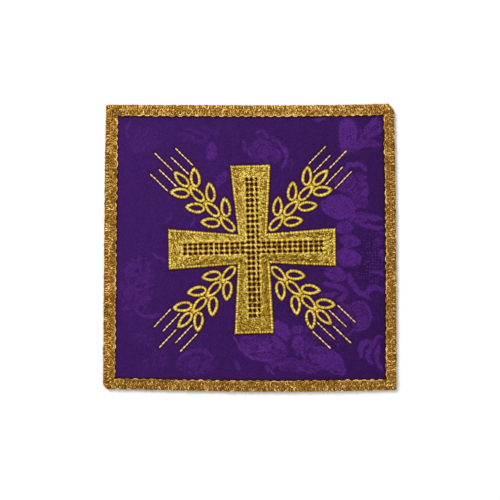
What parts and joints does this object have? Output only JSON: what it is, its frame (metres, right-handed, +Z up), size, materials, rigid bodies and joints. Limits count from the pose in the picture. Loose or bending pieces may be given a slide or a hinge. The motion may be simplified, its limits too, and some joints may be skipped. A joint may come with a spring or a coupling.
{
  "type": "chalice pall",
  "caption": "Stiff square of purple damask edged with narrow gold braid, embroidered with a gold cross and ears of wheat; it lies flat over a chalice.",
  "frame": {"origin": "middle of the underside, where the piece lies on its surface", "axes": "+Z up out of the embroidered face, +X to the right and +Y up the face as the cross stands upright"},
  "size_m": [0.162, 0.159, 0.0038],
  "materials": {
    "damask": "purple satin damask with tone-on-tone flowers, soft sheen",
    "gold_braid": "knitted metallised yarn, warm gold, sparkling",
    "gold_embroidery": "machine embroidery in lustrous yellow gold thread",
    "pale_thread": "single lines of pale gold thread"
  },
  "bodies": {
    "root": {"panel": "damask", "braid": "gold_braid", "cross": "gold_embroidery", "ear_upper_right": "gold_embroidery", "ear_upper_left": "gold_embroidery", "ear_lower_left": "gold_embroidery", "ear_lower_right": "gold_embroidery", "awn_upper_right_far_left": "pale_thread", "awn_upper_right_left": "pale_thread", "awn_upper_right_middle": "pale_thread", "awn_upper_right_right": "pale_thread", "awn_upper_right_far_right": "pale_thread", "awn_upper_left_far_left": "pale_thread", "awn_upper_left_left": "pale_thread", "awn_upper_left_middle": "pale_thread", "awn_upper_left_right": "pale_thread", "awn_upper_left_far_right": "pale_thread", "awn_lower_left_far_left": "pale_thread", "awn_lower_left_left": "pale_thread", "awn_lower_left_middle": "pale_thread", "awn_lower_left_right": "pale_thread", "awn_lower_left_far_right": "pale_thread", "awn_lower_right_far_left": "pale_thread", "awn_lower_right_left": "pale_thread", "awn_lower_right_middle": "pale_thread", "awn_lower_right_right": "pale_thread", "awn_lower_right_far_right": "pale_thread"}
  },
  "joints": []
}
